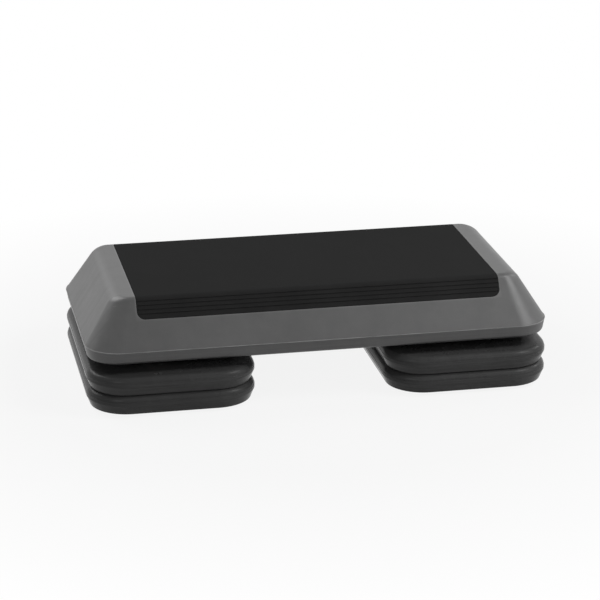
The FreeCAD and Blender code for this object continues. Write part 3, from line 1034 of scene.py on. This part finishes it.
@dataclass
class Deck:
    """Hollow deck: a rim with a parting bead, sloping sides, a rounded crown and a recess for the mat."""

    rim_height: float = 0.0196
    rim_corner: float = 0.052
    rim_draft: float = 0.004
    rim_round: float = 0.006
    rim_margin: float = 0.018
    bead_proud: float = 0.0007
    bead_height: float = 0.0016
    # The bead's proudness varies along the edge, and the painted highlight on its crest varies with it.
    flash_mean: float = 0.72
    flash_swing: float = 0.12
    flash_lean: float = 1.7
    flash_waves: tuple[tuple[float, float, float], ...] = ((1.0, 61, 0.0), (0.7, 143, 1.3), (0.5, 307, 0.4))
    slope_step: float = 0.0008
    slope_run: float = 0.045
    crown_corner: float = 0.024
    end_bend: float = 0.026
    side_bend: float = 0.011
    wall: float = 0.005
    mat_thickness: float = 0.0024
    mat_corner: float = 0.012
    mat_clearance: float = 0.0003
    lip: float = 0.0007
    # Painted highlight on the rounded lip round the mat recess, where its edge catches light.
    lip_rub: float = 0.15
    frame_margin: float = 0.0022
    crown_steps: int = 10
    flap_steps: int = 2
    side_steps: int = 64
    slope_steps: int = 8
    turn_steps: int = 24
    end_steps: int = 14
    corner_steps: int = 16
    bend_steps: int = 12
    bead_steps: int = 6
    lip_steps: int = 4

    def __post_init__(self) -> None:
        """Read the driving sizes from the frame and work out the lines that the rest follows."""
        low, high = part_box("deck_shell")
        self.bottom, self.top = low.z, high.z
        self.parting = self.bottom + self.rim_height
        self.slope_height = self.top - self.parting
        self.rim = Plan((high.x - low.x) / 2, (high.y - low.y) / 2, self.rim_corner)
        inset = self.slope_step + self.slope_run
        self.crown = Plan(self.rim.half_length - inset, self.rim.half_width - inset, self.crown_corner)
        self.tread = Tread(self.top, self.crown.half_width, self.slope_run, self.slope_height, self.side_bend)
        mat_low, mat_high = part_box("tread_mat")
        flap_end = self.tread.below_crest(mat_high.z - mat_low.z)
        self.mat = TreadMat(self.tread, (mat_high.x - mat_low.x) / 2, flap_end, self.mat_thickness,
                            self.mat_corner)
        self.recess_corner = self.mat_corner + self.mat_clearance
        self.core_x, self.core_w = self.mat.half_length - self.mat_corner, flap_end - self.mat_corner
        margin = self.recess_corner + self.lip + self.frame_margin
        self.frame_x, self.frame_w = self.core_x + margin, self.core_w + margin
        self.frame_steps = margin * spread(0, 1, self.corner_steps // 2)
        self.slope_foot = self.tread.below_crest(self.slope_height - self.bead_height / 2)

    def across(self) -> np.ndarray:
        """Places across half of the strip, from the middle of the crown to the recess's corner centres.

        Returns:
            The places.
        """
        tread = self.tread
        crown = spread(0, tread.flat, self.crown_steps)
        bend = spread(tread.flat, tread.bent, self.bend_steps)
        flap = spread(tread.bent, self.core_w, self.flap_steps)
        return np.concatenate([crown, bend[1:], flap[1:]])

    def along(self) -> np.ndarray:
        """Places along the strip between the centres of the recess's corners."""
        return spread(-self.core_x, self.core_x, self.side_steps)

    def loop(self, half_x: float, half_w: float, arc: np.ndarray) -> tuple[np.ndarray, np.ndarray]:
        """Join straight sides and four like corners into one loop on the strip.

        Args:
            half_x: Where the ends lie.
            half_w: Where the long sides lie.
            arc: Places round the back right corner, without its ends.

        Returns:
            Places along and across the strip, anticlockwise from the front of the right end.
        """
        rise = np.concatenate([-self.across()[:0:-1], self.across()])
        run = self.along()[::-1]
        end = np.stack([np.full(len(rise), half_x), rise])
        side = np.stack([run, np.full(len(run), half_w)])
        mirror_x, mirror_w = np.array([[-1], [1]]), np.array([[1], [-1]])
        walk = [end, arc, side, (arc * mirror_x)[:, ::-1], -end, -arc, -side, (arc * mirror_w)[:, ::-1]]
        x, w = np.concatenate(walk, axis=1)
        return x, w

    def recess_loop(self, grow: float) -> tuple[np.ndarray, np.ndarray]:
        """Loop round the recess, a little outside its wall.

        Args:
            grow: How far outside.

        Returns:
            Places along and across the strip.
        """
        radius = self.recess_corner + grow
        angles = spread(0, QUARTER_TURN, self.corner_steps)[1:-1]
        arc = np.stack([self.core_x + radius * np.cos(angles), self.core_w + radius * np.sin(angles)])
        return self.loop(self.core_x + radius, self.core_w + radius, arc)

    def frame_loop(self) -> tuple[np.ndarray, np.ndarray]:
        """Loop with square corners outside the recess, in step with the recess's own loops.

        Returns:
            Places along and across the strip.
        """
        up, over = self.frame_steps[1:], self.frame_steps[-2:0:-1]
        climb = np.stack([np.full(len(up), self.frame_x), self.core_w + up])
        cross = np.stack([self.core_x + over, np.full(len(over), self.frame_w)])
        return self.loop(self.frame_x, self.frame_w, np.concatenate([climb, cross], axis=1))

    def add_recess(self, draft: Draft) -> None:
        """Lip, wall and floor of the recess, and the surface just outside it.

        Args:
            draft: The deck's draft.
        """
        put = self.tread.put
        loops, rubs = [put(*self.frame_loop(), np.zeros(1))], [0.0]
        # The lip's rows carry that painted highlight.
        for angle in spread(0, QUARTER_TURN, self.lip_steps):
            grow, depth = self.lip * (1 - math.sin(angle)), self.lip * (1 - math.cos(angle))
            loops.append(put(*self.recess_loop(grow), np.full(1, depth)))
            rubs.append(self.lip_rub)
        x, w = self.recess_loop(0.0)
        floor = put(x, w, np.full(1, self.mat_thickness))
        draft.grid(np.stack([*loops, floor]), np.array([*rubs, 0.0])[:, None], closed=True)
        levels = np.round(w, LEVEL_DIGITS)
        rows = [floor[levels == level] for level in np.unique(levels)]
        rows = [row[np.argsort(row[:, 0])] for row in rows]
        for row, following in zip(rows, rows[1:]):
            draft.polygon(np.concatenate([row, following[::-1]]))

    def flash_share(self, spot: np.ndarray) -> float:
        """How proud the parting bead stands at a place, the two halves of the mould meeting unevenly; the
        same share sets how bright the bead's painted highlight is.

        Args:
            spot: The place on the deck's edge, seen from above.

        Returns:
            The share of the bead's full size and of its painted highlight.
        """
        walk = abs(spot[0]) + self.flash_lean * abs(spot[1])
        waves = sum(part * math.sin(pace * walk + start) for part, pace, start in self.flash_waves)
        return self.flash_mean + self.flash_swing * waves

    def slope_places(self) -> np.ndarray:
        """Places across the strip on the slope, from its foot up to where the bend starts.

        Returns:
            The places.
        """
        across = self.across()
        beside = self.core_w + self.frame_steps[:0:-1]
        upper = across[across > self.tread.bent - WELD_DISTANCE][::-1]
        return np.concatenate([spread(self.slope_foot, self.frame_w, self.slope_steps)[:-1], beside, upper])

    def rim_rows(self, station: Station) -> list[tuple[float, float, float]]:
        """Section of the rim and its bead at one station: inset, height and how far each row is lightened,
        from the underside up. The bead's rows carry a painted highlight.

        Args:
            station: The place round the edge.

        Returns:
            The section's rows.
        """
        half_bead, flash_and_highlight = self.bead_height / 2, self.flash_share(station.edge)
        path = rounded_path([(self.rim_draft + self.rim_margin, self.bottom, 0),
                             (self.rim_draft, self.bottom, self.rim_round),
                             (self.bead_proud, self.parting - half_bead, 0)])
        rows = [(inset, z, 0.0) for inset, z in path]
        for angle in spread(-QUARTER_TURN, QUARTER_TURN, self.bead_steps)[1:-1]:
            # The bead's face is lightened as a painted highlight, strongest at its crest and uneven along the
            # edge.
            rub = flash_and_highlight * math.cos(angle)
            rows.append((self.bead_proud * (1 - rub), self.parting + half_bead * math.sin(angle), rub))
        return rows

    def column(self, station: Station) -> tuple[np.ndarray, np.ndarray]:
        """Points up the deck's side at one station, from the underside to the crown.

        Args:
            station: The place round the edge.

        Returns:
            The points, and how far each is lightened by the bead's painted highlight.
        """
        rows = self.rim_rows(station)
        out, up = np.array([*station.out, 0.0]), np.array([0.0, 0.0, 1.0])
        edge, crest = np.array([*station.edge, 0.0]), np.array([*station.crest, self.top])
        rim = [edge - inset * out + z * up for inset, z, _ in rows]
        rise = self.bead_height / 2
        foot = edge - (self.slope_step + rise * self.slope_run / self.slope_height) * out
        foot = foot + (self.parting + rise) * up
        slant = math.atan2(self.slope_height, (edge - crest) @ out - self.slope_step)
        start = crest - station.bend * math.tan(slant / 2) * out
        bend = [start + station.bend * (math.sin(angle) * out - (1 - math.cos(angle)) * up)
                for angle in spread(slant, 0, self.bend_steps)]
        places = self.slope_places()
        shares = (places[0] - places[:-1]) / (places[0] - places[-1])
        slope = [foot + share * (bend[0] - foot) for share in shares]
        rub = [row[2] for row in rows] + [0.0] * (len(slope) + len(bend))
        return np.array(rim + slope + bend), np.array(rub)

    def side_station(self, x: float) -> Station:
        """Station on the straight front side."""
        edge, crest = np.array([x, -self.rim.half_width]), np.array([x, -self.crown.half_width])
        return Station(edge, crest, np.array([0.0, -1.0]), self.side_bend)

    def end_stations(self) -> list[Station]:
        """Stations from the front right, round the right end, to the back right.

        Returns:
            The stations in order.
        """
        half = [self.side_station(self.frame_x)]
        for angle in spread(-QUARTER_TURN, 0, self.turn_steps):
            out = np.array([math.cos(angle), math.sin(angle)])
            bend = self.end_bend + ease(abs(angle) / QUARTER_TURN) * (self.side_bend - self.end_bend)
            half.append(Station(self.rim.front_right(out), self.crown.front_right(out), out, bend))
        turn = half[-1]
        for share in spread(1, 0, self.end_steps)[1:]:
            keep = np.array([1.0, share])
            half.append(Station(turn.edge * keep, turn.crest * keep, turn.out, self.end_bend))
        return half + [station.flipped() for station in half[-2::-1]]

    def front_places(self) -> np.ndarray:
        """Places along the front side at which its columns stand."""
        outer = self.core_x + self.frame_steps[1:]
        return np.concatenate([-outer[::-1], self.along(), outer])

    def build(self, finish: Finish) -> None:
        """Mould the deck.

        Args:
            finish: The plastic.
        """
        draft = Draft()
        self.add_recess(draft)
        # Each column carries how far its points are lightened by the bead's painted highlight.
        front, front_rub_and_sheen = self.stand([self.side_station(x) for x in self.front_places()])
        right, right_rub_and_sheen = self.stand(self.end_stations())
        mirror_x, mirror_y = np.array([-1.0, 1.0, 1.0]), np.array([1.0, -1.0, 1.0])
        rows = len(front) - self.bend_steps - len(self.slope_places()) + self.slope_steps + 1
        for mirror in (1.0, mirror_y):
            draft.grid(front[:rows] * mirror, front_rub_and_sheen[:rows])
        crown_y = self.across()
        crown_y = crown_y[crown_y < self.tread.flat - WELD_DISTANCE]
        inner = np.array([(self.frame_x, y, self.top) for y in (*crown_y[::-1], *-crown_y[1:])])
        for mirror in (1.0, mirror_x):
            draft.grid(right * mirror, right_rub_and_sheen)
            draft.fill(np.concatenate([right[-1], inner]) * mirror)
        underside = np.concatenate([front[0], right[0][1:-1], (front[0] * mirror_y)[::-1],
                                    (right[0] * mirror_x)[-2:0:-1]])
        hole = StemHole(wall=self.wall)
        centres = [middle_of(foot_name(side, Tier.DECK, place)) for side in Side for place in FOOT_PLACES]
        draft.fill(underside, [hole.cut(draft, centre, self.bottom) for centre in centres])
        piece = draft.finish("deck_moulding")
        install(piece, finish, Slot.DECK_PLASTIC, body_of(Side.LEFT, Tier.DECK), "deck_shell")

    def stand(self, stations: Sequence[Station]) -> tuple[np.ndarray, np.ndarray]:
        """Columns of points at a run of stations, as rows from the underside up, with how far each is
        lightened by the bead's painted highlight.
        """
        points, rubs = zip(*(self.column(station) for station in stations))
        return np.stack(points, axis=1), np.stack(rubs, axis=1)


@dataclass(frozen=True)
class Lamp:
    """Soft box that hangs in the studio and faces the platform."""

    name: str
    place: tuple[float, float, float]
    width: float
    height: float
    power: float
    aim: tuple[float, float, float] = (0.0, 0.0, 0.1)

    def hang(self) -> None:
        """Hang the lamp."""
        light = bpy.data.lights.new(self.name, "AREA")
        light.shape = "RECTANGLE"
        light.size, light.size_y = self.width, self.height
        light.energy = self.power
        lamp = put_in_scene(self.name, light)
        lamp.location = self.place
        lamp.rotation_euler = (Vector(self.aim) - Vector(self.place)).to_track_quat("-Z", "Y").to_euler()


LAMPS = (
    Lamp("key_right", (1.42, -0.82, 1.7), 0.8, 1.0, 25.0),
    Lamp("front_right", (0.875, -2.167, 1.24), 1.0, 0.6, 3.0),
    Lamp("low_right", (1.98, -1.0, 0.695), 0.9, 0.6, 4.0),
    Lamp("back_left", (-1.25, 1.15, 1.65), 1.4, 1.4, 24.0),
    Lamp("low_front_left", (-1.4, -1.72, 0.8), 0.9, 0.6, 7.0),
    Lamp("back_right", (1.94, 0.55, 1.2), 0.4, 0.4, 5.0),
)


@dataclass(frozen=True)
class Studio:
    """White studio: a floor, lamps, an even room and the camera at the photograph's angle."""

    azimuth: float = math.radians(11.35)
    elevation: float = math.radians(18.93)
    camera_place: tuple[float, float, float] = (-0.6851, -3.4026, 1.2924)
    lens_mm: float = 140.6
    sensor_mm: float = 36.0
    floor_half: float = 12.0
    floor_colour: tuple[float, float, float, float] = (0.55, 0.55, 0.55, 1.0)
    white: tuple[float, float, float, float] = (1.0, 1.0, 1.0, 1.0)
    room_level: float = 0.04
    glow_near: float = 0.88
    glow_start: float = 0.45
    glow_end: float = 0.95

    @staticmethod
    def seen(bench: Bench) -> bpy.types.NodeSocket:
        """Whether a ray shows the background: to the eye, in a reflection or through something clear.

        Args:
            bench: Bench of the material or world.

        Returns:
            1 for such a ray, and 0 for others.
        """
        ray = bench.node("ShaderNodeLightPath").outputs
        shown = bench.math("MAXIMUM", ray["Is Camera Ray"], ray["Is Glossy Ray"])
        return bench.math("MAXIMUM", shown, ray["Is Transmission Ray"])

    def floor_material(self) -> bpy.types.Material:
        """Pale floor that glows white to the eye away from the platform, and keeps the shadow near it.

        Returns:
            The material.
        """
        material = bpy.data.materials.new("studio_floor")
        bench = clear_bench(material)
        spot = bench.node("ShaderNodeNewGeometry").outputs["Position"]
        away = bench.node("ShaderNodeVectorMath", {0: spot}, operation="LENGTH").outputs["Value"]
        glow = bench.span(away, self.glow_start, self.glow_end, self.glow_near, 1.0)
        paint = bench.node("ShaderNodeBsdfDiffuse", {"Color": self.floor_colour})
        light = bench.node("ShaderNodeEmission", {"Color": self.white, "Strength": 1.0})
        mixed = bench.node("ShaderNodeMixShader", {
            0: bench.math("MULTIPLY", self.seen(bench), glow), 1: paint.outputs[0], 2: light.outputs[0]})
        bench.node("ShaderNodeOutputMaterial", {"Surface": mixed.outputs[0]})
        return material

    def lay_floor(self) -> None:
        """Lay the floor."""
        half = self.floor_half
        corners = [(-half, -half, 0), (half, -half, 0), (half, half, 0), (-half, half, 0)]
        mesh = bpy.data.meshes.new("floor")
        mesh.from_pydata(corners, [], [range(len(corners))])
        mesh.materials.append(self.floor_material())
        floor = put_in_scene("floor", mesh)
        floor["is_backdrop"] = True

    def paint_room(self) -> None:
        """White room to the eye and in reflections, and an even dim light from all round."""
        world = bpy.data.worlds.new("room")
        bench = clear_bench(world)
        dim = bench.node("ShaderNodeBackground", {"Color": self.white, "Strength": self.room_level})
        bright = bench.node("ShaderNodeBackground", {"Color": self.white, "Strength": 1.0})
        mixed = bench.node("ShaderNodeMixShader", {
            0: self.seen(bench), 1: dim.outputs[0], 2: bright.outputs[0]})
        bench.node("ShaderNodeOutputWorld", {"Surface": mixed.outputs[0]})
        bpy.context.scene.world = world

    def set_camera(self) -> None:
        """Stand the camera where the photograph was taken from."""
        lens = bpy.data.cameras.new("camera")
        lens.lens, lens.sensor_width = self.lens_mm, self.sensor_mm
        camera = put_in_scene("camera", lens)
        camera.location = self.camera_place
        camera.rotation_euler = (QUARTER_TURN - self.elevation, 0.0, -self.azimuth)
        bpy.context.scene.camera = camera

    def set_up(self) -> None:
        """Build the studio round the platform."""
        self.lay_floor()
        self.paint_room()
        for lamp in LAMPS:
            lamp.hang()
        self.set_camera()
        bpy.context.scene.view_settings.view_transform = "Standard"


def write_sizes() -> None:
    """Gather the CAD box and the dressed model's box side by side; nothing is kept or written."""
    boxes = {"cad": CAD_BOX, "visual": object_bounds()}
    {name: [list(corner) for corner in box] for name, box in boxes.items()}


def main() -> None:
    """Build every piece of the platform and the studio round it."""
    logging.basicConfig(level=logging.INFO, format="%(name)s: %(message)s")
    effects = Effects()
    # The deck's strong per-point lightening paints a bright highlight along its parting bead and mat-recess
    # lip.
    deck_plastic = Finish("grey_deck_plastic", 0.077, effects, roughness=0.42, specular=0.53,
                          cloud_share=0.08, cloud_scale=40.0, line_share=0.2, line_scale=110.0,
                          draw_share=0.12, rub_share=3.0, grain_height=2.5e-5)
    # The risers' per-point lightening paints light from below onto their drawn-in lower faces, and lightens
    # rubbed bands and socket lips.
    riser_plastic = Finish("black_riser_plastic", 0.055, effects, roughness=0.28, specular=0.08,
                           cloud_share=0.08, draw_share=0.12, rub_share=0.3, scratch_share=0.1,
                           grain_height=2e-5, sway_height=1e-4)
    mat_rubber = Finish("black_mat_rubber", 0.028, effects, roughness=0.85, specular=0.01,
                        grain_scale=900.0, grain_height=6e-5, cloud_share=0.05, sway_height=8e-5)
    foot_rubber = Finish("black_foot_rubber", 0.015, effects, roughness=0.75, specular=0.2,
                         grain_scale=1100.0)
    deck = Deck()
    deck.build(deck_plastic)
    deck.mat.build(mat_rubber)
    for side in Side:
        for tier in (Tier.LOWER, Tier.UPPER):
            Riser(side, tier).build(riser_plastic)
        for tier in Tier:
            for place in FOOT_PLACES:
                Foot(side, tier, place).build(foot_rubber)
    Studio().set_up()
    write_sizes()


if __name__ == "__main__":
    main()
